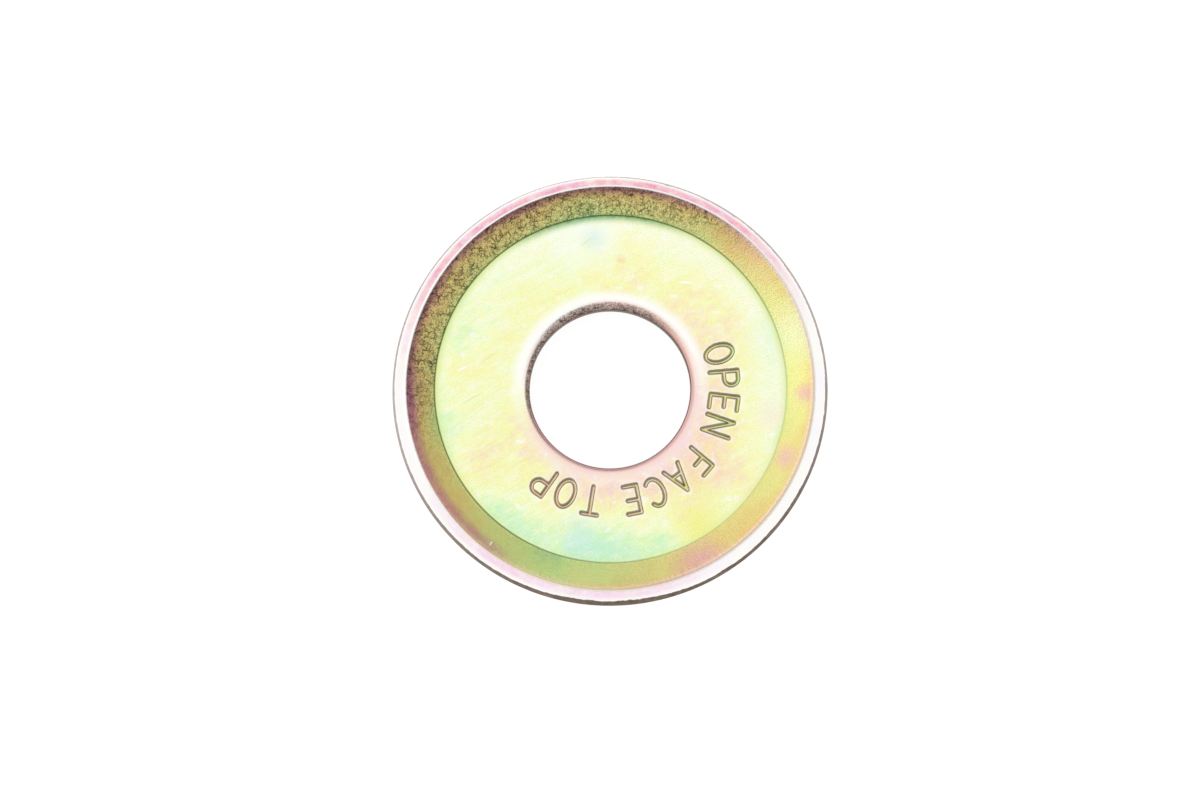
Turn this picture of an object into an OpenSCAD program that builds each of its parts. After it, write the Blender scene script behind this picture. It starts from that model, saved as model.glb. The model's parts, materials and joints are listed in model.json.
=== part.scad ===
// Cup washer: a disc of steel sheet, punched, dished and plated, lying cup upwards.
// The axis of its bolt hole is Z, and its flat underside rests on Z = 0.
// The whole washer is one section turned once round that axis. In the section, X is
// the radius and Y is the height.

/* [Sheet] */
// Thickness of the steel sheet
sheet_t = 2.3; // [1.8:0.1:4]

/* [Cup] */
// Outside diameter, over the lower corner of the sheared edge
outer_d = 44.45; // [41:0.05:60]
// Diameter of the flat floor inside the cup, at the crease
floor_d = 35.9; // [26:0.1:39]
// Slope of the wall above the floor, in degrees
wall_angle = 15; // [8:1:30]
// Radius inside the crease between floor and wall
crease_r = 0.6; // [0.3:0.1:3]

/* [Rim] */
// Width of the rim, from the ridge at the top of the wall to the outside
rim_w = 1.37; // [0.9:0.01:1.8]
// Slope of the bevel that the press left on the rim, in degrees
bevel_angle = 36; // [20:1:42]
// Radius on the ridge between wall and bevel
ridge_r = 0.2; // [0.1:0.05:0.6]
// Radius on the shoulder between bevel and sheared edge
shoulder_r = 0.15; // [0.05:0.05:0.3]
// Radius on the lower corner of the sheared edge
burr_r = 0.12; // [0.04:0.02:0.2]

/* [Bolt hole] */
// Diameter of the hole where the punch sheared it clean
bore_d = 16.4; // [8:0.1:22]
// Width of the shallow lip that the punch drew down round the hole
lip_w = 1.1; // [0.8:0.1:2]
// Depth of that lip at the hole
lip_h = 0.14; // [0.1:0.01:0.3]
// Radius on the edge between lip and hole
edge_r = 0.35; // [0.1:0.05:0.5]
// Height of the torn zone at the bottom of the hole
tear_h = 0.9; // [0.3:0.1:1]
// How far the torn zone opens outwards at the underside
tear_w = 0.25; // [0.05:0.05:0.4]

/* [Hidden] */
$fn = 180;

// How far a cutting shape reaches past the metal that it cuts
reach = 1;
// How far a radius overlaps the faces that it runs into, so that they join cleanly
overlap = 0.001;

outer_r = outer_d / 2;
floor_r = floor_d / 2;
bore_r = bore_d / 2;
slope = tan(wall_angle);

// Directions in the section. The sheared edge is square to the wall, so it looks up the wall.
inwards = [-1, 0];
down = [0, -1];
up_wall = [cos(wall_angle), sin(wall_angle)];
under_wall = [sin(wall_angle), -cos(wall_angle)];
down_bevel = [cos(bevel_angle), -sin(bevel_angle)];
over_bevel = [sin(bevel_angle), cos(bevel_angle)];

// Centre of a radius that touches the two faces of a corner, which look along a and b
function round_centre(corner, radius, a, b) = corner - radius * (a + b) / (1 + a * b);

// Crease and underside bend share one centre, one sheet apart
crease = [floor_r, sheet_t];
bend_centre = round_centre(crease, crease_r, down, under_wall);
bend_r = crease_r + sheet_t;
under_r = floor_r + sheet_t * tan(wall_angle / 2);

// Lower corner of the sheared edge, where the washer is widest
burr_x = outer_r - burr_r;
burr_centre = [burr_x, (burr_x - under_r) * slope + burr_r / cos(wall_angle)];

// Ridge at the top of the wall
ridge_x = outer_r - rim_w;
ridge = [ridge_x, sheet_t + (ridge_x - floor_r) * slope];
ridge_centre = round_centre(ridge, ridge_r, -under_wall, over_bevel);

// Shoulder where the bevel runs out on the sheared edge
bevel_l = (burr_r - (ridge - burr_centre) * up_wall) / (down_bevel * up_wall);
shoulder = ridge + bevel_l * down_bevel;
shoulder_centre = round_centre(shoulder, shoulder_r, over_bevel, up_wall);

// The lip is an arc that leaves the floor level and is lip_h lower at the hole
lip_r = (lip_w ^ 2 + lip_h ^ 2) / (2 * lip_h);
lip_centre = [bore_r + lip_w, sheet_t - lip_r];
edge_rise = sqrt((lip_r - edge_r) ^ 2 - (lip_w - edge_r) ^ 2);
edge_centre = [bore_r + edge_r, lip_centre.y + edge_rise];
over_lip = (edge_centre - lip_centre) / (lip_r - edge_r);

// Flat floor and sloping wall, folded sharply and longer than the finished wall
module sheet_section() {
    far = outer_r + reach;
    polygon([
        [bore_r, 0], [under_r, 0], [far, (far - under_r) * slope],
        [far, sheet_t + (far - floor_r) * slope], crease, [bore_r, sheet_t]
    ]);
}

// What lies between a corner and a radius inside it, where the radius touches faces
// that look along a and b. An outside corner loses it, and an inside corner gains it.
module corner_piece(centre, radius, a, b) {
    far = radius + reach;
    difference() {
        polygon([centre, centre + far * a, centre + far * (a + b) / (1 + a * b), centre + far * b]);
        translate(centre) circle(radius + overlap);
    }
}

// Metal outside the sheared edge and above the bevel
module rim_waste() {
    far = sheet_t + rim_w + reach;
    translate(burr_centre) rotate(wall_angle) translate([burr_r, -far]) square([far, 2 * far]);
    translate(ridge) rotate(-bevel_angle) square(far);
    corner_piece(ridge_centre, ridge_r, -under_wall, over_bevel);
    corner_piece(shoulder_centre, shoulder_r, over_bevel, up_wall);
    corner_piece(burr_centre, burr_r, under_wall, up_wall);
}

// Metal that the punch drew down at the top of the hole
module lip_waste() {
    difference() {
        translate([bore_r - reach, sheet_t - lip_h - edge_r]) square([lip_w + reach, lip_r]);
        translate(lip_centre) circle(lip_r + overlap);
    }
    corner_piece(edge_centre, edge_r, over_lip, inwards);
}

// Metal that tore away at the bottom of the hole
module tear_waste() {
    torn_r = bore_r + tear_w;
    polygon([
        [bore_r - reach, -reach], [torn_r, -reach], [torn_r, 0],
        [bore_r, tear_h], [bore_r - reach, tear_h]
    ]);
}

module washer() {
    color("palegoldenrod") rotate_extrude() difference() {
        union() {
            sheet_section();
            corner_piece(bend_centre, crease_r, down, under_wall);
        }
        corner_piece(bend_centre, bend_r, down, under_wall);
        rim_waste();
        lip_waste();
        tear_waste();
    }
}

washer();
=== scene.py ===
"""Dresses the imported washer: one closed sheet-metal surface with stamped words, in yellow zinc plating."""

import json
import math

import bpy
import numpy as np
from mathutils import Matrix, Vector


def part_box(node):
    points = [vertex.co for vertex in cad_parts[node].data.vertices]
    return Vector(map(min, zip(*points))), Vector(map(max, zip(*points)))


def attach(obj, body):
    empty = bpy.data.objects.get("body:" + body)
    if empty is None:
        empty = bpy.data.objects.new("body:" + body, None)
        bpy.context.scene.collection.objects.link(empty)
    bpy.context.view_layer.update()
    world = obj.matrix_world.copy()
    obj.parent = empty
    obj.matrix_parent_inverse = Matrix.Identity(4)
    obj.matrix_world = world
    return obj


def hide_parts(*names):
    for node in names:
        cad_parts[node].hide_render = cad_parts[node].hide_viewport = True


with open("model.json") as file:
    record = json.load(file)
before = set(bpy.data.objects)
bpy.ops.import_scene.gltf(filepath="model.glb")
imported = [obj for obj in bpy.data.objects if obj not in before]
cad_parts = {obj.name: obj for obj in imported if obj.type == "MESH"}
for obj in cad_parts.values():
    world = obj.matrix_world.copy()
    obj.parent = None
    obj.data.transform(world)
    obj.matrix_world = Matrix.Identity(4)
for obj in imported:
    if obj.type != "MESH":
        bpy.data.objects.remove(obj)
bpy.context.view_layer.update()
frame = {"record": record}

# Sizes in millimetres. What the frame gives comes from the frame, and the rest repeats the solid's section.
MM = 0.001
mounts = {mount["name"]: mount for mount in frame["record"]["mounts"]}
OUTER_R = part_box("washer")[1].x / MM
BORE_R = mounts["bolt_hole"]["dims"]["r_mm"]
SHEET_T = mounts["cup_floor"]["pos_m"][2] / MM
FLOOR_R = 17.95
WALL_ANGLE = math.radians(15)
RIM_W = 1.37
BEVEL_ANGLE = math.radians(36)
LIP_W = 1.1
LIP_H = 0.14
TEAR_H = 0.9
TEAR_W = 0.25

# Radii on the corners of the section, as in the solid. The torn corners are sharp there.
EDGE_R = 0.35
CREASE_R = 0.6
RIDGE_R = 0.2
SHOULDER_R = 0.15
BURR_R = 0.12
TORN_R = 0.06

# How far to the right of the axis the press formed the crease, and how far inside the crease that begins
PRESS_OFFSET = 0.08
PRESS_REACH = 4.0

# Wavering of the ridge and of the shoulder: half its depth, its reach along the section, and its waves a turn
RIDGE_WAVER = 0.02
RIDGE_REACH = 0.35
SHOULDER_WAVER = 0.03
SHOULDER_REACH = 0.3
WAVES = (60, 300)

# Stamped marking: letters stand on a circle, tops outwards, and follow each other clockwise.
# The gaps between letters and words count in heights of a letter.
MARKING = ["OPEN", "FACE", "TOP"]
LETTER_H = 2.85
LETTER_BASE_R = 10.3
LETTER_START = math.radians(22)
LETTER_GAP = 0.36
WORD_GAP = 0.95
STROKE_W = 0.48
STROKE_DEPTH = 0.14
STAMPED_R = (9.95, 13.5)
STAMPED_ARC = (math.radians(-136), math.radians(26))

# Studio: height of the lamps in metres, and brightness of the room and of the lamps in front of it
CEILING = 1.0
ROOM_LEVEL = 0.38
LAMP_LEVEL = 0.65

# Rows along the section and columns round the axis, and points on each arc of an outline
ROWS = 138
COLUMNS = 720
ARC_STEPS = 25

# Where rows and columns crowd. The densities count only against each other: rows on plain stretches, one more
# for each ROW_TURN that the section turns by, more in the stamped band, and more columns in the stamped arc.
PLAIN_ROWS = 1.7
ROW_TURN = math.radians(9)
STAMPED_ROWS = 12.5
STAMPED_COLUMNS = 0.75


def rounded_section(corners, radii, steps):
    """A closed outline with its corners rounded. Each corner becomes an arc of circle that touches both of
    its sides: the centre lies on the line that halves the corner, radius / sin(half the corner's angle) away,
    and the arc is swept by turning the first touching point about the centre by equal angles."""
    before = np.roll(corners, 1, axis=0) - corners
    after = np.roll(corners, -1, axis=0) - corners
    before /= np.linalg.norm(before, axis=1, keepdims=True)
    after /= np.linalg.norm(after, axis=1, keepdims=True)
    half = np.arccos(np.clip((before * after).sum(1), -1, 1)) / 2
    middle = (before + after) / np.linalg.norm(before + after, axis=1, keepdims=True)
    centre = corners + middle * (radii / np.sin(half))[:, None]
    spoke = corners + before * (radii / np.tan(half))[:, None] - centre
    turn = np.sign(before[:, 1] * after[:, 0] - before[:, 0] * after[:, 1]) * (np.pi - 2 * half)
    angle = turn[:, None] * np.linspace(0, 1, steps)
    swept_x = spoke[:, :1] * np.cos(angle) - spoke[:, 1:] * np.sin(angle)
    swept_y = spoke[:, :1] * np.sin(angle) + spoke[:, 1:] * np.cos(angle)
    return centre[:, None, :] + np.stack([swept_x, swept_y], axis=2)


def washer_corners():
    """Sharp corners of the section, each as its name, (radius, height) and rounding radius, from the hole's
    upper edge over the top to the rim and back along the underside."""
    slope = math.tan(WALL_ANGLE)
    # The lip is an arc that leaves the floor level, and the radius of the hole's edge continues it
    lip_bend_r = (LIP_W ** 2 + LIP_H ** 2) / (2 * LIP_H)
    lip_turn = math.asin((LIP_W - EDGE_R) / (lip_bend_r - EDGE_R))
    lip_x = BORE_R + LIP_W - lip_bend_r * math.tan(lip_turn / 2)
    under_r = FLOOR_R + SHEET_T * math.tan(WALL_ANGLE / 2)
    ridge_r = OUTER_R - RIM_W
    ridge = np.array([ridge_r, SHEET_T + (ridge_r - FLOOR_R) * slope])
    # The sheared edge is square to the wall, and its lower corner's radius touches the outside
    up_wall = np.array([math.cos(WALL_ANGLE), math.sin(WALL_ANGLE)])
    under_wall = np.array([math.sin(WALL_ANGLE), -math.cos(WALL_ANGLE)])
    burr_x = OUTER_R - BURR_R
    burr_centre = np.array([burr_x, (burr_x - under_r) * slope + BURR_R / math.cos(WALL_ANGLE)])
    burr = burr_centre + BURR_R * (up_wall + under_wall)
    down_bevel = np.array([math.cos(BEVEL_ANGLE), -math.sin(BEVEL_ANGLE)])
    shoulder = ridge + down_bevel * ((burr - ridge) @ up_wall) / (down_bevel @ up_wall)
    return [
        ("edge", (BORE_R, SHEET_T - (lip_x - BORE_R) * math.tan(lip_turn)), EDGE_R),
        ("lip", (lip_x, SHEET_T), lip_bend_r),
        ("crease", (FLOOR_R, SHEET_T), CREASE_R),
        ("ridge", ridge, RIDGE_R),
        ("shoulder", shoulder, SHOULDER_R),
        ("burr", burr, BURR_R),
        ("bend", (under_r, 0), CREASE_R + SHEET_T),
        ("torn_foot", (BORE_R + TEAR_W, 0), TORN_R),
        ("torn_top", (BORE_R, TEAR_H), TORN_R),
    ]


def stations(distance, density, count):
    """Spreads count places along a path so that they crowd where the density is high: equal steps of the
    summed density, read back as distances."""
    summed = np.concatenate([[0], np.cumsum(np.diff(distance) * (density[1:] + density[:-1]) / 2)])
    return np.interp(np.arange(count) * summed[-1] / count, summed, distance)


def section_rows():
    """Distance along the section, radius and height of each row, and the distance of each named corner. Rows
    stand closer where the section turns and across the stamped band."""
    names, corners, radii = zip(*washer_corners())
    arcs = rounded_section(np.array(corners, float), np.array(radii), ARC_STEPS)
    start = (arcs[0, :1] + arcs[-1, -1:]) / 2
    outline = np.vstack([start, arcs.reshape(-1, 2), start])
    distance = np.concatenate([[0], np.cumsum(np.linalg.norm(np.diff(outline, axis=0), axis=1))])
    marks = dict(zip(names, distance[1:-1].reshape(len(names), -1)[:, ARC_STEPS // 2]))
    marks["end"] = distance[-1]
    fine = np.linspace(0, distance[-1], num=6000)
    radius = np.interp(fine, distance, outline[:, 0])
    height = np.interp(fine, distance, outline[:, 1])
    heading = np.unwrap(np.arctan2(np.gradient(height), np.gradient(radius)))
    bend = np.abs(np.gradient(heading, fine))
    stamped = (radius > STAMPED_R[0]) & (radius < STAMPED_R[1]) & (height > SHEET_T / 2)
    rows = stations(fine, PLAIN_ROWS + bend / ROW_TURN + STAMPED_ROWS * stamped, ROWS)
    return rows, np.interp(rows, fine, radius), np.interp(rows, fine, height), marks


def bow(x, y, across, up, start, end):
    """Points on an arc of an ellipse about (x, y), between two angles in degrees."""
    angle = np.radians(np.linspace(start, end, ARC_STEPS))
    return np.stack([x + across * np.cos(angle), y + up * np.sin(angle)], axis=1)


def line(*points):
    """A stroke of straight lines through the points."""
    return np.array(points, float)


# Each letter is its width and its strokes, in heights of a letter, from the left end of its foot
LETTERS = {
    "A": (0.62, [line((0, 0), (0.31, 1), (0.62, 0)), line((0.11, 0.35), (0.51, 0.35))]),
    "C": (0.58, [bow(0.32, 0.5, 0.32, 0.5, 48, 312)]),
    "E": (0.48, [line((0.48, 1), (0, 1), (0, 0), (0.48, 0)), line((0, 0.52), (0.4, 0.52))]),
    "F": (0.48, [line((0.48, 1), (0, 1), (0, 0)), line((0, 0.52), (0.4, 0.52))]),
    "N": (0.58, [line((0, 0), (0, 1), (0.58, 0), (0.58, 1))]),
    "O": (0.62, [bow(0.31, 0.5, 0.31, 0.5, 0, 360)]),
    "P": (0.52, [line((0, 0), (0, 1), (0.28, 1)), bow(0.28, 0.75, 0.24, 0.25, 90, -90),
                 line((0.28, 0.5), (0, 0.5))]),
    "T": (0.56, [line((0, 1), (0.56, 1)), line((0.28, 1), (0.28, 0))]),
}


def stroke_distance(x, y, stroke):
    """Distance from points to a stroke: the least of the distances to its straight parts, each measured from
    the point to its nearest place on that part."""
    ends = stroke[1:] - stroke[:-1]
    from_x = x[..., None] - stroke[:-1, 0]
    from_y = y[..., None] - stroke[:-1, 1]
    share = np.clip((from_x * ends[:, 0] + from_y * ends[:, 1]) / (ends ** 2).sum(1), 0, 1)
    return np.hypot(from_x - share * ends[:, 0], from_y - share * ends[:, 1]).min(-1)


def marking_distance(radius, turn):
    """Distance, in millimetres, from points of the floor to the nearest stroke of the marking. Each letter is
    flat and upright at its own angle, and letters follow each other by their widths, measured on the circle
    through their middles."""
    nearest = np.full(radius.shape, np.inf)
    middle_r = LETTER_BASE_R + LETTER_H / 2
    place = 0.0
    for word in MARKING:
        for letter in word:
            width, strokes = LETTERS[letter]
            angle = LETTER_START - (place + width / 2) * LETTER_H / middle_r
            right = radius * np.sin(angle - turn)
            out = radius * np.cos(angle - turn)
            x = right / LETTER_H + width / 2
            y = (out - LETTER_BASE_R) / LETTER_H
            reached = np.array([stroke_distance(x, y, stroke) for stroke in strokes]).min(0)
            facing = np.where(np.cos(angle - turn) > 0, reached, np.inf)
            nearest = np.minimum(nearest, facing * LETTER_H)
            place += width + LETTER_GAP
        place += WORD_GAP - LETTER_GAP
    return nearest


def smooth_step(low, high, value):
    """0 below low, 1 above high, and an S-shaped rise between them."""
    share = np.clip((value - low) / (high - low), 0, 1)
    return share * share * (3 - 2 * share)


def ripple(turn, seed):
    """A closed unevenness between -1 and 1 round the axis: a sum of cosines of whole numbers of waves, with
    random phases, each as strong as the next, scaled down and cut off at its few highest crests."""
    cosines = 40
    random = np.random.default_rng(seed)
    counts = random.integers(WAVES[0], WAVES[1], cosines)
    phases = random.uniform(0, 2 * np.pi, cosines)
    return np.clip(np.cos(turn[:, None] * counts + phases).sum(1) * 4 / cosines, -1, 1)


def washer_mesh():
    """The washer as a section carried round the axis: x = radius cos(turn), y = radius sin(turn). The stamped
    strokes sink into the floor with flat bottoms and sloping sides, the ridge wavers downwards and the
    shoulder inwards, and the crease and what lies round it are pressed slightly to the right. Two values of
    each point serve the material: stamp, the share of the strokes' depth, and outline, a ring just outside
    the strokes."""
    along, radius, height, marks = section_rows()
    around = np.linspace(0, 2 * np.pi, num=8000)
    in_arc = (around > STAMPED_ARC[0] % (2 * np.pi)) | (around < STAMPED_ARC[1])
    turn = stations(around, 1.0 + STAMPED_COLUMNS * in_arc, COLUMNS)
    r, t = np.meshgrid(radius, turn, indexing="ij")
    z = np.repeat(height[:, None], COLUMNS, axis=1)
    # Points of the flat floor in the stamped band and just beside it
    flat = (np.abs(z - SHEET_T) < 1e-6) & (r > STAMPED_R[0] - 0.2) & (r < STAMPED_R[1] + 0.2)
    # Distance from the middle of a stroke, in halves of its width
    stroke = 2 * marking_distance(r, t) / STROKE_W
    stamp = np.where(flat, 1 - smooth_step(0.35, 1.0, stroke), 0)
    outline = np.where(flat, smooth_step(0.9, 1.1, stroke) * (1 - smooth_step(1.1, 2.2, stroke)), 0)
    z = z - STROKE_DEPTH * stamp
    # Wavering of the ridge and of the line where the bevel breaks into the torn edge
    near_ridge = np.exp(-((along - marks["ridge"]) / RIDGE_REACH) ** 2)
    near_shoulder = np.exp(-((along - marks["shoulder"]) / SHOULDER_REACH) ** 2)
    z = z - near_ridge[:, None] * RIDGE_WAVER * (1 + ripple(turn, seed=3))
    r = r - near_shoulder[:, None] * SHOULDER_WAVER * (1 + ripple(turn, seed=5))
    pressed = smooth_step(FLOOR_R - PRESS_REACH, FLOOR_R, radius)
    pressed = pressed * (1 - smooth_step(FLOOR_R, OUTER_R - RIM_W, radius))
    x = r * np.cos(t) + PRESS_OFFSET * pressed[:, None]
    y = r * np.sin(t)
    points = np.stack([x, y, z], axis=2).reshape(-1, 3) * MM

    row = np.arange(ROWS)[:, None]
    column = np.arange(COLUMNS)[None, :]
    next_row = (row + 1) % ROWS
    next_column = (column + 1) % COLUMNS
    faces = np.stack([
        row * COLUMNS + column, next_row * COLUMNS + column,
        next_row * COLUMNS + next_column, row * COLUMNS + next_column], axis=2).reshape(-1, 4)
    mesh = bpy.data.meshes.new("washer_sheet")
    mesh.from_pydata(points, [], faces)
    mesh.shade_smooth()
    # Each face corner holds its place: share of a turn, and distance along the section in millimetres
    far_row = np.append(along, marks["end"])
    far_column = np.append(turn, 2 * np.pi) / (2 * np.pi)
    rows = np.broadcast_to(np.stack([row, row + 1, row + 1, row], axis=2), (ROWS, COLUMNS, 4))
    columns = np.broadcast_to(np.stack([column, column, column + 1, column + 1], axis=2), (ROWS, COLUMNS, 4))
    place = np.stack([far_column[columns], far_row[rows]], axis=3)
    mesh.uv_layers.new(name="place").uv.foreach_set("vector", place.astype(np.float32).ravel())
    for name, values in (("stamp", stamp), ("outline", outline)):
        attribute = mesh.attributes.new(name, "FLOAT", "POINT")
        attribute.data.foreach_set("value", values.astype(np.float32).ravel())
    return mesh, marks


class Wire:
    """A socket of a material's nodes. Arithmetic on wires and numbers adds Math nodes."""

    def __init__(self, tree, socket=None):
        self.tree = tree
        self.socket = socket

    def node(self, kind, settings=None, sockets=None, output=0):
        """Adds a node of a type: its settings first, then a number, colour or wire for each named socket."""
        made = self.tree.nodes.new("ShaderNode" + kind)
        for name, value in (settings or {}).items():
            if name == "stops":
                ramp = made.color_ramp.elements
                while len(ramp) < len(value):
                    ramp.new(1)
                for element, (position, colour) in zip(ramp, value):
                    element.position = position
                    element.color = colour
            else:
                setattr(made, name, value)
        for name, value in (sockets or {}).items():
            if isinstance(value, Wire):
                self.tree.links.new(value.socket, made.inputs[name])
            else:
                made.inputs[name].default_value = value
        return Wire(self.tree, made.outputs[output] if made.outputs else None)

    def math(self, operation, *values):
        return self.node("Math", {"operation": operation}, dict(enumerate(values)))

    def __add__(self, other):
        return self.math("ADD", self, other)

    def __radd__(self, other):
        return self.math("ADD", other, self)

    def __sub__(self, other):
        return self.math("SUBTRACT", self, other)

    def __rsub__(self, other):
        return self.math("SUBTRACT", other, self)

    def __mul__(self, other):
        return self.math("MULTIPLY", self, other)

    def __rmul__(self, other):
        return self.math("MULTIPLY", other, self)

    def __truediv__(self, other):
        return self.math("DIVIDE", self, other)

    def __pow__(self, other):
        return self.math("POWER", self, other)

    def clamp(self):
        """The value, kept between 0 and 1."""
        return self.node("Clamp", sockets={"Value": self})

    def rise(self, low, high):
        """0 where the value is below low, 1 where it is above high, smooth between. High may be below low."""
        return self.node("MapRange", {"interpolation_type": "SMOOTHSTEP"},
                         {"Value": self, "From Min": low, "From Max": high})

    def hump(self, centre, width):
        """1 where the value is the centre, fading to 0 over the width on both sides."""
        return self.math("ABSOLUTE", self - centre).rise(width, 0.0)

    def sibling(self, output):
        """Another output of the same node."""
        return Wire(self.tree, self.socket.node.outputs[output])

    def mix(self, first, second):
        """The first colour where the value is 0 or less, and the second where it is 1 or more."""
        return self.node("Mix", {"data_type": "RGBA"}, {0: self, 6: first, 7: second}, output=2)

    def ramp(self, *stops):
        """A colour that runs through the stops, each a value and a colour."""
        return self.node("ValToRGB", {"stops": stops}, {"Fac": self})


class Sheet:
    """The washer's surface as its material reads it: places in millimetres and degrees, areas round such
    places, and uneven patterns, whose values run from -0.5 to 0.5."""

    def __init__(self, tree, marks):
        self.start = Wire(tree)
        self.marks = marks
        self.place = self.start.node("TexCoord", output="Object")
        xyz = self.start.node("SeparateXYZ", sockets={"Vector": self.place})
        self.x = xyz / MM
        self.y = xyz.sibling("Y") / MM
        self.radius = (self.x * self.x + self.y * self.y) ** 0.5
        mapped = self.start.node("UVMap", {"uv_map": "place"})
        self.around = self.start.node("SeparateXYZ", sockets={"Vector": mapped})
        self.along = self.around.sibling("Y")
        self.up_wall = self.past("crease") / (marks["ridge"] - marks["crease"])
        self.lower_half = self.towards(-75).rise(-0.3, 0.6)
        self.patches = self.noise(4.5, 3.0, 0.55)
        self.clouds = self.noise(1.8, offset=0.6)
        self.flecks = self.noise(0.8, 4.0, 0.65, offset=0.3)
        self.ragged = 0.6 * self.noise(0.9, 3.0, 0.6)
        self.grain = self.noise(0.12, 2.0, 0.7, offset=0.2).rise(0.0, 0.25)
        self.scores = self.score_marks(count=1200, length=1.5)

    def past(self, corner):
        """Distance along the section past a named corner, negative before it."""
        return self.along - self.marks[corner]

    def towards(self, degrees):
        """How far a place lies towards an angle round the axis, from -1 to 1."""
        angle = math.radians(degrees)
        return (self.x * math.cos(angle) + self.y * math.sin(angle)) / self.radius

    def offsets(self, distance, degrees):
        """How far right of, and how far above, a place given by its distance from the axis and its angle."""
        angle = math.radians(degrees)
        return self.x - distance * math.cos(angle), self.y - distance * math.sin(angle)

    def spot(self, distance, degrees, size):
        """1 at a place given by its distance from the axis and its angle, fading to 0 over the size."""
        over, up = self.offsets(distance, degrees)
        return ((over * over + up * up) ** 0.5).rise(size, 0.0)

    def spots(self, *places):
        """The sum of spots, each given by its strength, then as a spot is."""
        return sum(strength * self.spot(*place) for strength, *place in places)

    def scratch(self, distance, degrees, length, width, tilt):
        """1 along a straight mark, fading to 0 at its edges. Its middle is at a distance and an angle."""
        over, up = self.offsets(distance, degrees)
        lean = math.radians(tilt)
        lengthways = (over * math.cos(lean) + up * math.sin(lean)) / (length / 2)
        crossways = (up * math.cos(lean) - over * math.sin(lean)) / (width / 2)
        return (lengthways * lengthways + crossways * crossways).rise(1.0, 0.0)

    def moved(self, place, offset):
        """A place moved along all three axes, in metres, so that patterns of one size differ."""
        return self.start.node("VectorMath", {"operation": "ADD"}, {0: place, 1: (offset, offset, offset)})

    def noise(self, size, detail=2.0, rough=0.5, offset=0.0):
        """Uneven values whose patches are about that many millimetres wide."""
        return self.start.node("TexNoise", sockets={
            "Vector": self.moved(self.place, offset), "Scale": 1 / (size * MM),
            "Detail": detail, "Roughness": rough}) - 0.5

    def streaks(self, degrees, length, width, offset):
        """Uneven values in strips along an angle, about that long and wide in millimetres."""
        turned = self.start.node("Mapping", {"vector_type": "TEXTURE"}, {
            "Vector": self.place, "Location": (offset, 0, 0), "Rotation": (0, 0, math.radians(degrees)),
            "Scale": (length * MM, width * MM, MM)})
        return self.start.node("TexNoise", sockets={"Vector": turned, "Scale": 1.0, "Detail": 2.0}) - 0.5

    def score_marks(self, count, length):
        """Uneven values in lines across the sheared metal, about that many round the axis and that long."""
        at = self.start.node("CombineXYZ", sockets={"X": self.around * count, "Y": self.along / length})
        return self.start.node("TexNoise", sockets={"Vector": at, "Scale": 1.0, "Detail": 2.0}) - 0.5

    def cracks(self, size, width, offset):
        """1 along the borders between cells about that many millimetres wide, fading to 0 over the width. The
        cells are bent by up to a quarter of a millimetre."""
        bends = self.start.node("TexNoise", sockets={"Vector": self.place, "Scale": 1 / (0.4 * MM)}, output=1)
        bent = self.start.node("VectorMath", {"operation": "MULTIPLY_ADD"}, {
            0: bends, 1: (0.25 * MM, 0.25 * MM, 0.25 * MM), 2: self.place})
        border = self.start.node("TexVoronoi", {"feature": "DISTANCE_TO_EDGE"}, {
            "Vector": self.moved(bent, offset), "Scale": 1 / (size * MM)})
        return border.rise(width / size, 0.0)


def display(red, green, blue):
    """A colour as a screen shows it, from 0 to 255, as the linear colour that renders so."""
    share = np.array([red, green, blue]) / 255
    linear = np.where(share <= 0.04045, share / 12.92, ((share + 0.055) / 1.055) ** 2.4)
    return (*linear.tolist(), 1.0)


# Tints of the film on the floor and the underside, from thin to thick, and the white of bleached plating
ROSE = display(249, 206, 210)
PEACH = display(251, 228, 192)
YELLOW = display(249, 249, 180)
PALE_LEAF = display(246, 253, 200)
MINT = display(218, 249, 194)
AQUA = display(200, 243, 207)
PEARL = display(254, 254, 250)


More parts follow.
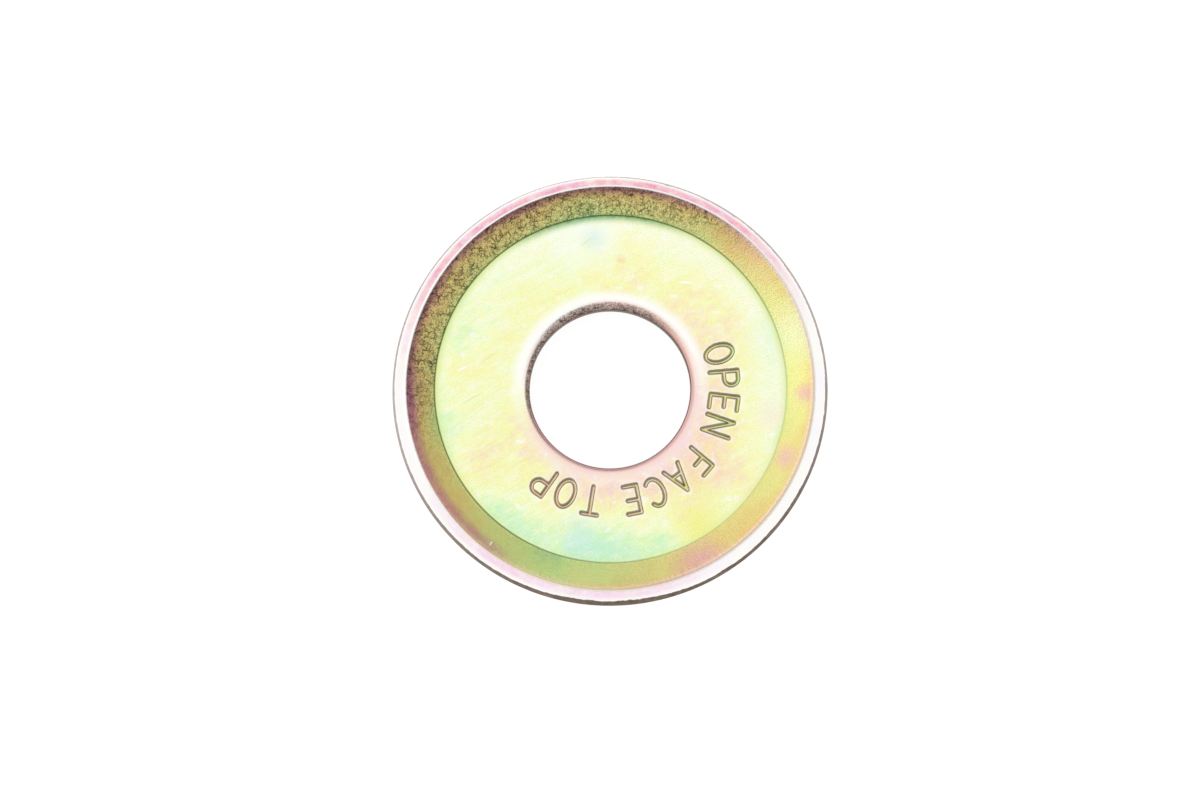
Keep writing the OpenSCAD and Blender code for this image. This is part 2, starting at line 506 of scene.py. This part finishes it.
def floor_film(sheet):
    """Tints of the cup's floor. The film grows outwards from the lip, by amounts that differ round the axis,
    and patterns and spots shift it. Blots and traces of wiping lie over it, and it is paler at the upper
    right, towards the crease."""
    towards = sheet.towards
    # Share of the way out, from the lip to near the crease
    out = ((sheet.radius - 9.2) / 7.6).clamp() ** 1.5
    film = 0.22 + 0.18 * towards(135) + (0.4 + 0.28 * towards(285)) * out
    film = film + 0.42 * sheet.patches + 0.34 * sheet.clouds + 0.36 * sheet.flecks
    film = film + 0.16 * sheet.streaks(28, 4.0, 0.3, offset=0.1)
    film = film + sheet.spots(
        (-0.34, 16.8, -36, 7.0), (-0.25, 17.0, -59, 4.0), (0.25, 16.0, -98, 5.0), (-0.22, 16.8, 176, 5.5),
        (-0.3, 16.9, 211, 6.0))
    colour = film.ramp(
        (0.0, ROSE), (0.16, PEACH), (0.34, YELLOW), (0.52, PALE_LEAF), (0.74, MINT), (0.92, AQUA))
    # Blots of orange and lilac in the lower half
    orange = sheet.noise(1.3, 2.0, 0.6, offset=1.3).rise(0.04, 0.18) * sheet.radius.rise(14.5, 13.0)
    lilac = sheet.noise(1.5, 2.0, 0.6, offset=1.7).rise(0.04, 0.18) * sheet.radius.rise(13.0, 11.0)
    colour = (0.5 * orange * sheet.lower_half).mix(colour, display(254, 232, 150))
    colour = (0.5 * lilac * sheet.lower_half).mix(colour, display(246, 208, 226))
    # Paler and darker traces of wiping, and soft white dots
    colour = (0.34 * sheet.streaks(28, 2.0, 0.7, offset=0.3).rise(-0.1, 0.3)).mix(colour, PEARL)
    colour = (0.35 * sheet.noise(0.45, 3.0, 0.6, offset=0.4).rise(0.0, 0.28)).mix(colour, PEARL)
    colour = (0.6 * sheet.noise(1.0, 1.0, offset=0.5).rise(0.14, 0.26)).mix(colour, PEARL)
    hairs = sheet.streaks(31, 5.0, 0.1, offset=0.6).rise(0.06, 0.22) * towards(200).rise(-0.6, 0.7)
    colour = (0.13 * hairs).mix(colour, display(170, 180, 116))
    return (0.35 * out.rise(0.4, 1.0) * towards(65).rise(-0.2, 0.6)).mix(colour, PEARL)


def floor_spots(sheet, colour):
    """Single spots on the floor, its fine grain, a painted highlight in a band round the upper half of the
    hole, and short scratches."""
    spot = sheet.spot
    scratch = sheet.scratch
    cloudy = (0.7 + 1.4 * sheet.clouds).clamp()
    flecked = (0.8 + 1.6 * sheet.flecks).clamp()
    # Yellow, orange, pink, mint and blue spots at the right and the bottom, then the grain
    colour = (0.85 * spot(17.0, -57, 4.2)).mix(colour, display(245, 243, 144))
    colour = (0.5 * spot(12.6, -46, 4.0)).mix(colour, display(248, 224, 170))
    colour = (0.6 * spot(16.7, -10, 2.4)).mix(colour, display(252, 238, 220))
    colour = (0.6 * spot(17.2, 18, 3.6) * cloudy).mix(colour, display(222, 250, 214))
    colour = (0.55 * spot(15.2, -101, 3.2) * flecked).mix(colour, display(202, 238, 236))
    colour = (0.28 * sheet.grain).mix(colour, display(168, 170, 104))
    # A bleached area at the top, with a bluish patch and a rusty dot in it, and a painted highlight round the
    # hole
    colour = (0.9 * spot(16.0, 100, 5.5) * cloudy).mix(colour, display(246, 254, 248))
    colour = (0.6 * spot(15.6, 96, 2.0) * flecked).mix(colour, display(208, 236, 234))
    rusty = spot(13.4, 85, 0.8) * (0.6 + 2.5 * sheet.flecks).clamp()
    colour = (0.8 * rusty).mix(colour, display(250, 202, 164))
    painted_halo = sheet.radius.rise(10.6, 9.35) * sheet.towards(95).rise(-0.45, 0.4)
    colour = (0.97 * painted_halo).mix(colour, PEARL)
    bright = scratch(13.45, 54.5, 2.0, 0.3, -4) + scratch(15.2, 172, 1.4, 0.3, 30)
    bright = bright + scratch(16.4, 118, 1.0, 0.2, 40)
    dark = scratch(14.1, 184, 3.0, 0.13, 29) + scratch(12.7, 165, 2.4, 0.12, 34)
    dark = dark + scratch(15.4, 99, 2.2, 0.1, 38)
    colour = bright.mix(colour, display(255, 252, 255))
    return (0.28 * dark).mix(colour, display(136, 150, 104))


def lip_blush_and_shade(sheet, colour):
    """Blush of the lip: soft and wide away from the top, stronger at the upper right, grey at the hole, and
    browner towards the upper left as painted shade.
    """
    radius = sheet.radius
    towards = sheet.towards
    colour = (0.5 * radius.rise(10.6, 9.3) * sheet.lower_half).mix(colour, display(249, 234, 230))
    colour = (0.8 * radius.rise(9.5, 8.5) * towards(105).rise(0.2, -0.4)).mix(colour, display(245, 210, 208))
    colour = (0.8 * radius.rise(9.35, 8.7) * towards(58).rise(0.5, 0.9)).mix(colour, display(255, 214, 198))
    # Painted shade: the blush darker and browner towards the upper left
    blush = towards(130).rise(0.0, 0.6).mix(display(212, 168, 162), display(186, 150, 138))
    colour = radius.rise(8.8, 8.4).mix(colour, blush)
    colour = (0.7 * radius.rise(8.42, 8.28)).mix(colour, display(146, 122, 114))
    return (0.45 * radius.rise(9.1, 8.75) * towards(115).rise(0.3, 0.8)).mix(colour, display(228, 200, 190))


def crease_tint_and_painted_shade(sheet, colour):
    """Deeper tint on the floor along the crease, and a green painted shade there at the top."""
    near = sheet.past("crease").rise(-1.2, 0.1) ** 2
    colour = (near * (0.35 + 0.4 * sheet.towards(100).rise(-0.6, 0.6))).mix(colour, display(208, 226, 126))
    # Painted shade in green along the crease at the top
    shade = near * sheet.towards(94).rise(0.84, 0.985)
    return (shade * (0.9 + 1.2 * sheet.flecks)).mix(colour, display(104, 164, 112))


def wall_film(sheet):
    """Tints of the cup's wall. The film grows up the wall, most where the sheet was drawn hardest, at the
    upper left, and patterns and spots shift it."""
    teal = display(194, 228, 168)
    leaf = display(228, 246, 158)
    gold = display(248, 244, 158)
    amber = display(250, 221, 142)
    apricot = display(250, 204, 158)
    wine = display(222, 150, 158)
    up_wall = sheet.up_wall
    film = 0.34 + 0.2 * up_wall + 0.06 * sheet.towards(160)
    film = film + 0.45 * sheet.patches + 0.24 * sheet.clouds + 0.2 * sheet.flecks
    film = film + sheet.spots(
        (0.36, 20.8, 188, 6.0), (0.3, 20.8, -62, 4.5), (-0.27, 19.3, -110, 8.5), (0.1, 19.8, -47, 6.0),
        (0.1, 21.2, 218, 5.0), (0.2, 20.6, 46, 5.0), (-0.2, 18.4, 98, 3.5), (-0.4, 18.3, 192, 4.0))
    drawn_side = sheet.towards(130).rise(0.0, 0.7)
    film = film + drawn_side * (0.3 * up_wall.rise(0.5, 1.0) - 0.15 * up_wall.rise(0.35, 0.0))
    return film.ramp((0.0, teal), (0.16, leaf), (0.36, gold), (0.56, amber), (0.74, apricot), (0.95, wine))


def wall_tints(sheet, colour):
    """What lies over the film on the wall: broad tints, one of them a painted shade at the lower right, rosy
    spots, a fringe inside the ridge, and a painted shade just inside the ridge at the top left.
    """
    towards = sheet.towards
    from_ridge = sheet.past("ridge")
    rosy = display(241, 184, 186)
    # Ochre, olive, green, apricot and pale yellow; the ochre at the lower right is a painted shade that
    # darkens the wall there
    colour = (0.35 * towards(-48).rise(0.6, 0.95)).mix(colour, display(206, 186, 112))
    colour = (0.25 * towards(220).rise(0.75, 0.97)).mix(colour, display(212, 200, 96))
    colour = (0.28 * towards(252).rise(0.8, 0.97)).mix(colour, display(170, 226, 150))
    colour = (0.3 * sheet.spot(20.6, 40, 4.0)).mix(colour, display(255, 228, 172))
    colour = (0.75 * sheet.spot(19.9, 17, 4.5)).mix(colour, display(252, 255, 204))
    # Rosy spots at the right, and an orange glow at the lower right
    veil = sheet.spots((0.7, 20.0, -2, 1.7), (0.8, 19.4, -22, 1.8), (0.9, 20.9, -63, 4.5))
    colour = (veil * (0.9 + 1.2 * sheet.clouds)).mix(colour, rosy)
    glow = from_ridge.rise(-1.0, -0.15) * towards(-45).rise(0.4, 0.85)
    colour = (0.45 * glow * (0.8 + 1.0 * sheet.clouds)).mix(colour, display(251, 200, 152))
    # The fringe is rosy, and paler at the right and at the lower left
    fringe = towards(-15).rise(0.1, 0.8).mix(rosy, display(254, 236, 220))
    fringe = towards(250).rise(0.75, 0.95).mix(fringe, display(252, 232, 196))
    colour = (0.75 * from_ridge.rise(-0.55, -0.05)).mix(colour, fringe)
    mauve = from_ridge.hump(-0.5, 1.0) * towards(205).rise(0.76, 0.93)
    colour = (0.75 * mauve * (0.85 + 0.8 * sheet.clouds)).mix(colour, display(206, 132, 154))
    colour = sheet.scratch(20.1, 233, 0.7, 0.3, 60).mix(colour, display(250, 252, 255))
    # Painted shade: a dark band just inside the ridge at the top left
    painted_ridge_shade = from_ridge.rise(-1.1, -0.1) * towards(122).rise(0.2, 0.85)
    painted_ridge_shade = painted_ridge_shade * (0.85 + 0.9 * sheet.clouds + 0.6 * sheet.flecks)
    return (0.75 * painted_ridge_shade).mix(colour, display(118, 78, 80))


def bevel_colour(sheet):
    """Bevel of the rim: a white ridge, then worn plating with a pink blush at the top and the bottom."""
    towards = sheet.towards
    from_ridge = sheet.past("ridge")
    beside_ridge = from_ridge.rise(0.12, 0.24)
    share = from_ridge / (sheet.marks["shoulder"] - sheet.marks["ridge"])
    worn = (0.5 + 2 * sheet.noise(2.5, offset=0.8)).mix(display(254, 254, 244), display(253, 249, 255))
    worn = beside_ridge.mix(PEARL, worn)
    pink = (0.1 + 2.2 * sheet.patches).mix(display(241, 156, 186), display(252, 200, 176))
    pink = towards(-95).rise(0.2, 0.6).mix(pink, display(245, 186, 222))
    blush = 0.95 * towards(98).rise(0.1, 0.8) + 0.6 * towards(-105).rise(0.6, 1.0)
    blotches = (0.72 + 1.0 * sheet.clouds + 1.5 * sheet.flecks).clamp()
    return (beside_ridge * share.rise(1.0, 0.55) * blush * blotches).mix(worn, pink)


def sheared_colours(sheet):
    """Bare metal of the rim's edge and of the hole, scored by the tool at first and torn below. The edge has
    painted light and shade: lighter towards the top, darkest at the bottom."""
    scored = (0.5 + 1.3 * sheet.scores).mix(display(70, 54, 46), display(140, 118, 100))
    torn = (0.5 + 1.5 * sheet.noise(0.9, 4.0, 0.7)).mix(display(40, 28, 22), display(150, 124, 104))
    rim_torn = (sheet.past("shoulder") - 0.4 - sheet.ragged).rise(-0.12, 0.12)
    rim = rim_torn.mix(scored, torn)
    # Painted light and shade: the edge is lighter towards the top and darker at the bottom
    rim = (0.75 * sheet.towards(108).rise(-0.95, 0.4)).mix(rim, display(206, 192, 188))
    hole_torn = sheet.past("torn_foot").rise(-0.1, 0.0)
    hole_torn = hole_torn * (sheet.past("torn_top") + 0.5 * sheet.ragged).rise(0.1, -0.1)
    return rim, hole_torn.mix(scored, torn)


def stamped_strokes(sheet, colour):
    """Stamped strokes: a pale outline, sides darkened as painted shade, and pale bottoms whose tint differs
    between letters.
    """
    stamp = sheet.start.node("Attribute", {"attribute_name": "stamp"}, output="Fac")
    outline = sheet.start.node("Attribute", {"attribute_name": "outline"}, output="Fac")
    tint = 0.42 + 0.25 * sheet.towards(20) + 1.2 * sheet.noise(1.6, 2.0, 0.6, offset=0.1)
    bottom = tint.ramp(
        (0.2, display(228, 192, 156)), (0.4, display(232, 216, 182)), (0.6, display(222, 212, 140)),
        (0.8, display(208, 228, 158)))
    colour = (0.5 * outline).mix(colour, PEARL)
    colour = stamp.rise(0.3, 0.9).mix(colour, bottom)
    # Painted shade on the sloping sides of the sunken strokes
    side = (4 * stamp * (1 - stamp)).clamp()
    return (0.9 * side).mix(colour, display(84, 60, 34))


def plated_steel(marks):
    """Yellow zinc plating. The clear film on the zinc tints it by its thickness, so the colour runs through
    the same tints in order as a film value grows, such as rose, peach, yellow, leaf green, mint and aqua.
    Each zone of the section has its own colours, and the zones follow each other along the section."""
    material = bpy.data.materials.new("plated_steel")
    material.use_nodes = True
    tree = material.node_tree
    tree.nodes.clear()
    sheet = Sheet(tree, marks)
    start = sheet.start
    radius = sheet.radius
    along = sheet.along
    towards = sheet.towards
    noise = sheet.noise

    # Where the zones lie. The sheared edge begins raggedly, and highest at the upper right and the bottom.
    # The section starts and ends in the middle of the hole's wall.
    on_wall = sheet.past("crease").rise(-0.05, 0.1)
    bevel_shift = 0.1 * towards(-70).rise(-0.2, 0.6) - 0.08 * towards(182).rise(0.6, 0.95)
    on_bevel = (sheet.past("ridge") - bevel_shift).rise(-0.1, 0.02)
    edge_widest = towards(270).rise(0.93, 1.0) + towards(55).rise(0.75, 1.0)
    edge_from = sheet.past("shoulder") - 0.26 * (1 - edge_widest)
    on_edge = (edge_from - 0.5 * sheet.ragged - 0.4 * noise(2.6, offset=0.9)).rise(-0.06, 0.06)
    on_under = sheet.past("burr").rise(0.0, 0.2)
    in_hole = sheet.past("torn_foot").rise(-0.1, 0.0) + along.rise(0.85, 0.6)

    floor = crease_tint_and_painted_shade(sheet, lip_blush_and_shade(sheet, floor_spots(sheet, floor_film(sheet))))
    wall = wall_tints(sheet, wall_film(sheet))
    rim_metal, hole_metal = sheared_colours(sheet)
    under = (0.5 + 1.2 * sheet.patches).ramp((0.2, PEACH), (0.4, YELLOW), (0.6, PALE_LEAF), (0.8, MINT))
    colour = on_wall.mix(floor, wall)
    colour = on_bevel.mix(colour, bevel_colour(sheet))
    colour = on_edge.mix(colour, rim_metal)
    colour = on_under.mix(colour, under)
    colour = in_hole.mix(colour, hole_metal)

    # Dark line of the crease, strongest away from the lower right
    crease_line = sheet.past("crease").hump(0.02, 0.15) * towards(150).rise(-1.6, 0.3)
    colour = (0.85 * crease_line).mix(colour, display(84, 100, 66))
    colour = stamped_strokes(sheet, colour)

    # Cracked, grainy plating where the sheet was drawn: the wall, and the upper side of the lip. Its dark
    # specks are painted strongest at the upper left, where both lie in shade: real grain, and painted shade
    # there
    lip = radius.rise(8.66, 8.54) * towards(128).rise(0.05, 0.55)
    lip = lip + radius.rise(8.98, 8.72) * towards(98).rise(0.66, 0.92)
    lip = (lip * along.rise(0.4, 0.6) * along.rise(3.0, 2.0)).clamp()
    drawn_wall = on_wall * (1 - on_bevel)
    drawn = (drawn_wall + lip).clamp()
    drawn_and_shaded = lip + drawn_wall * (towards(128) + 0.35 * sheet.up_wall.clamp()).rise(0.28, 0.75)
    cracked = sheet.cracks(0.6, 0.1, 0.9) * noise(0.7, 2.0, 0.6, offset=0.4).rise(-0.08, 0.1)
    crazed = 0.85 * sheet.cracks(0.24, 0.06, 0.2) * noise(0.4, 2.0, 0.6, offset=0.8).rise(-0.12, 0.1)
    speckled = 0.8 * noise(0.12, 3.0, 0.8, offset=0.9).rise(0.0, 0.16)
    pits = start.math("MAXIMUM", cracked, crazed) * towards(108).rise(-0.3, 0.5)
    pits = start.math("MAXIMUM", pits, speckled) * drawn_and_shaded
    light_dots = noise(0.16, 2.0, 0.7, offset=0.5).rise(0.02, 0.18)
    colour = (0.7 * lip * light_dots).mix(colour, display(250, 232, 226))
    colour = (0.88 * pits).mix(colour, display(44, 34, 30))
    colour = (0.22 * drawn * sheet.grain).mix(colour, display(126, 112, 66))

    # Relief of the drawn plating and of the bare metal, and roughness of the bare metal and of the worn ridge
    rough_metal = (on_edge * (1 - on_under) + in_hole).clamp()
    bumps = noise(0.16, 3.0, 0.65, offset=0.7)
    relief = bumps * (0.1 + drawn + 1.5 * drawn_and_shaded * towards(100).rise(0.1, 0.8)) - 0.3 * pits
    relief = relief + rough_metal * (1.5 * noise(0.3, 3.0, 0.7, offset=0.2) + 0.8 * sheet.scores)
    worn_ridge = sheet.past("ridge").rise(-0.25, -0.1) * sheet.past("ridge").rise(0.3, 0.1)
    worn_ridge = worn_ridge * (1 + towards(-60).rise(-0.3, 0.4))
    roughness = 0.16 + 0.3 * (rough_metal + worn_ridge)
    normal = start.node("Bump", sockets={"Strength": 0.6, "Distance": 0.06 * MM, "Height": relief})
    shader = start.node("BsdfPrincipled", sockets={
        "Base Color": colour, "Metallic": 1.0, "Roughness": roughness, "Normal": normal})
    start.node("OutputMaterial", sockets={"Surface": shader})
    return material


def softbox(name, left, right, front, back):
    """A lamp in the plane of the ceiling, between angles in degrees from straight above the washer."""
    edges = [CEILING * math.tan(math.radians(angle)) for angle in (left, right, front, back)]
    lamp = bpy.data.lights.new(name, "AREA")
    lamp.shape = "RECTANGLE"
    lamp.size = edges[1] - edges[0]
    lamp.size_y = edges[3] - edges[2]
    lamp.energy = math.pi * lamp.size * lamp.size_y * LAMP_LEVEL
    panel = bpy.data.objects.new(name, lamp)
    panel.location = ((edges[0] + edges[1]) / 2, (edges[2] + edges[3]) / 2, CEILING)
    bpy.context.scene.collection.objects.link(panel)


def studio():
    """Two soft lamps side by side, overhead and to the left, a grey room overhead and a white surround below
    it, down to the floor. The camera sees white all round."""
    softbox("overhead", left=-14, right=17, front=1, back=34.5)
    softbox("window", left=-60, right=-14, front=-22, back=45)
    world = bpy.data.worlds.new("room")
    world.use_nodes = True
    world.node_tree.nodes.clear()
    start = Wire(world.node_tree)
    grey = (ROOM_LEVEL, ROOM_LEVEL, ROOM_LEVEL, 1)
    white = (1, 1, 1, 1)
    direction = start.node("SeparateXYZ", sockets={"Vector": start.node("TexCoord", output="Generated")})
    room = direction.sibling("Z").rise(0.72, 0.52).mix(grey, white)
    room = start.node("LightPath", output="Is Camera Ray").mix(room, white)
    background = start.node("Background", sockets={"Color": room, "Strength": 1.0})
    start.node("OutputWorld", sockets={"Surface": background})
    bpy.context.scene.world = world


def white_floor():
    """A white sheet under the washer, seen as white by the camera and in the metal, with a faint shadow."""
    half = 4.0
    corners = [(-half, -half, 0), (half, -half, 0), (half, half, 0), (-half, half, 0)]
    mesh = bpy.data.meshes.new("floor")
    mesh.from_pydata(corners, [], [(0, 1, 2, 3)])
    sheet = bpy.data.objects.new("floor", mesh)
    sheet.location.z = -0.02 * MM
    bpy.context.scene.collection.objects.link(sheet)
    material = bpy.data.materials.new("white_sheet")
    material.use_nodes = True
    tree = material.node_tree
    tree.nodes.clear()
    start = Wire(tree)
    camera_ray = start.node("LightPath", output="Is Camera Ray")
    seen = start.math("MAXIMUM", camera_ray, camera_ray.sibling("Is Glossy Ray"))
    seen = start.math("MAXIMUM", seen, camera_ray.sibling("Is Transmission Ray"))
    paper = start.node("BsdfDiffuse", sockets={"Color": (0.9, 0.9, 0.9, 1)})
    shade = start.node("BsdfDiffuse", sockets={"Color": (0.15, 0.15, 0.15, 1)})
    glow = start.node("Emission", sockets={"Color": (1, 1, 1, 1), "Strength": 0.93})
    bright = start.node("AddShader", sockets={0: shade, 1: glow})
    shader = start.node("MixShader", sockets={0: seen, 1: paper, 2: bright})
    start.node("OutputMaterial", sockets={"Surface": shader})
    mesh.materials.append(material)


def camera():
    """A long lens, almost straight above, with the middle of its frame just off the axis."""
    tilt = math.radians(9.6)
    turn = math.radians(6)
    # Metres from the target, and metres that the frame is wide there
    distance = 0.75
    frame_width = 0.1224
    target = Vector((-1.0, -1.15, 2.0)) * MM
    back = Vector((math.sin(tilt) * math.sin(turn), -math.sin(tilt) * math.cos(turn), math.cos(tilt)))
    right = Vector((0, 1, 0)).cross(back).normalized()
    up = back.cross(right)
    data = bpy.data.cameras.new("camera")
    data.sensor_width = 36
    data.lens = data.sensor_width * distance / frame_width
    data.clip_start = 0.01
    viewer = bpy.data.objects.new("camera", data)
    turned = Matrix((right, up, back)).transposed().to_4x4()
    viewer.matrix_world = Matrix.Translation(target + back * distance) @ turned
    bpy.context.scene.collection.objects.link(viewer)
    bpy.context.scene.camera = viewer


mesh, marks = washer_mesh()
washer = bpy.data.objects.new("washer_sheet", mesh)
bpy.context.scene.collection.objects.link(washer)
mesh.materials.append(plated_steel(marks))
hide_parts("washer")
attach(washer, "root")

studio()
white_floor()
camera()
bpy.context.scene.view_settings.view_transform = "Standard"
